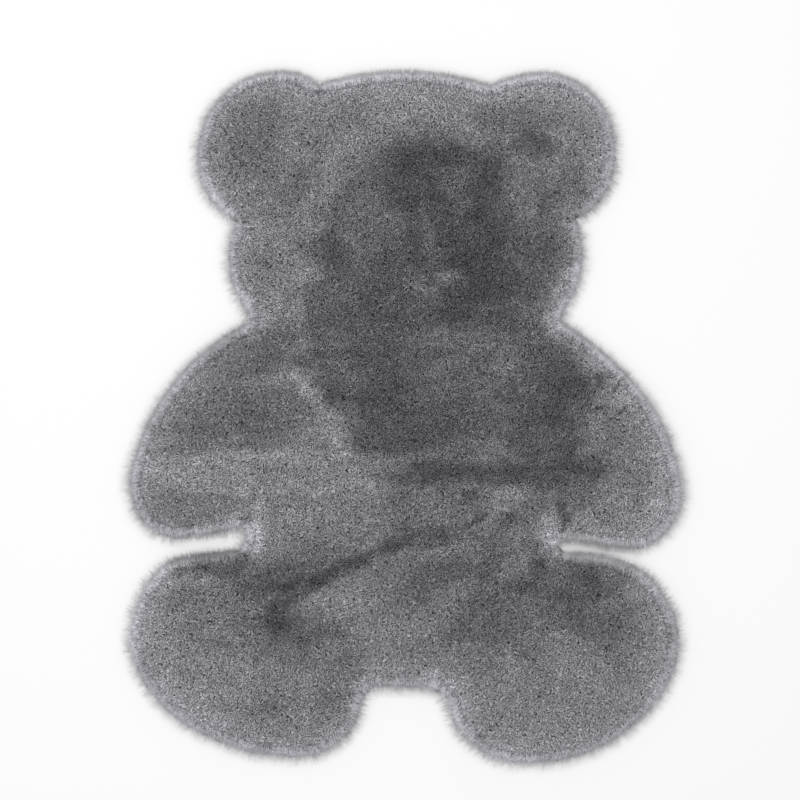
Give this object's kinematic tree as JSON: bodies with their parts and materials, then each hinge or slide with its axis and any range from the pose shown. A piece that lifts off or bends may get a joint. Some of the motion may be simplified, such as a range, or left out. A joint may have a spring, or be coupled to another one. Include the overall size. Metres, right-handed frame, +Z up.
{
  "type": "bear-shaped rug",
  "caption": "Flat bear-shaped rug of dense short-pile grey plush, cut in a single piece with round ears, arms and legs, lying pile up.",
  "frame": {"origin": "on the floor under the middle of the rug's outline, which is the bottom centre of its bounding box", "axes": "+Z up out of the pile, +Y from the feet to the head, +X to the right seen from above with the head at the top"},
  "size_m": [0.8, 1, 0.025],
  "materials": {
    "plush": "dense short-pile plush in mid grey, matt, brushed in soft lighter and darker patches"
  },
  "bodies": {
    "root": {"pelt": "plush"}
  },
  "joints": []
}
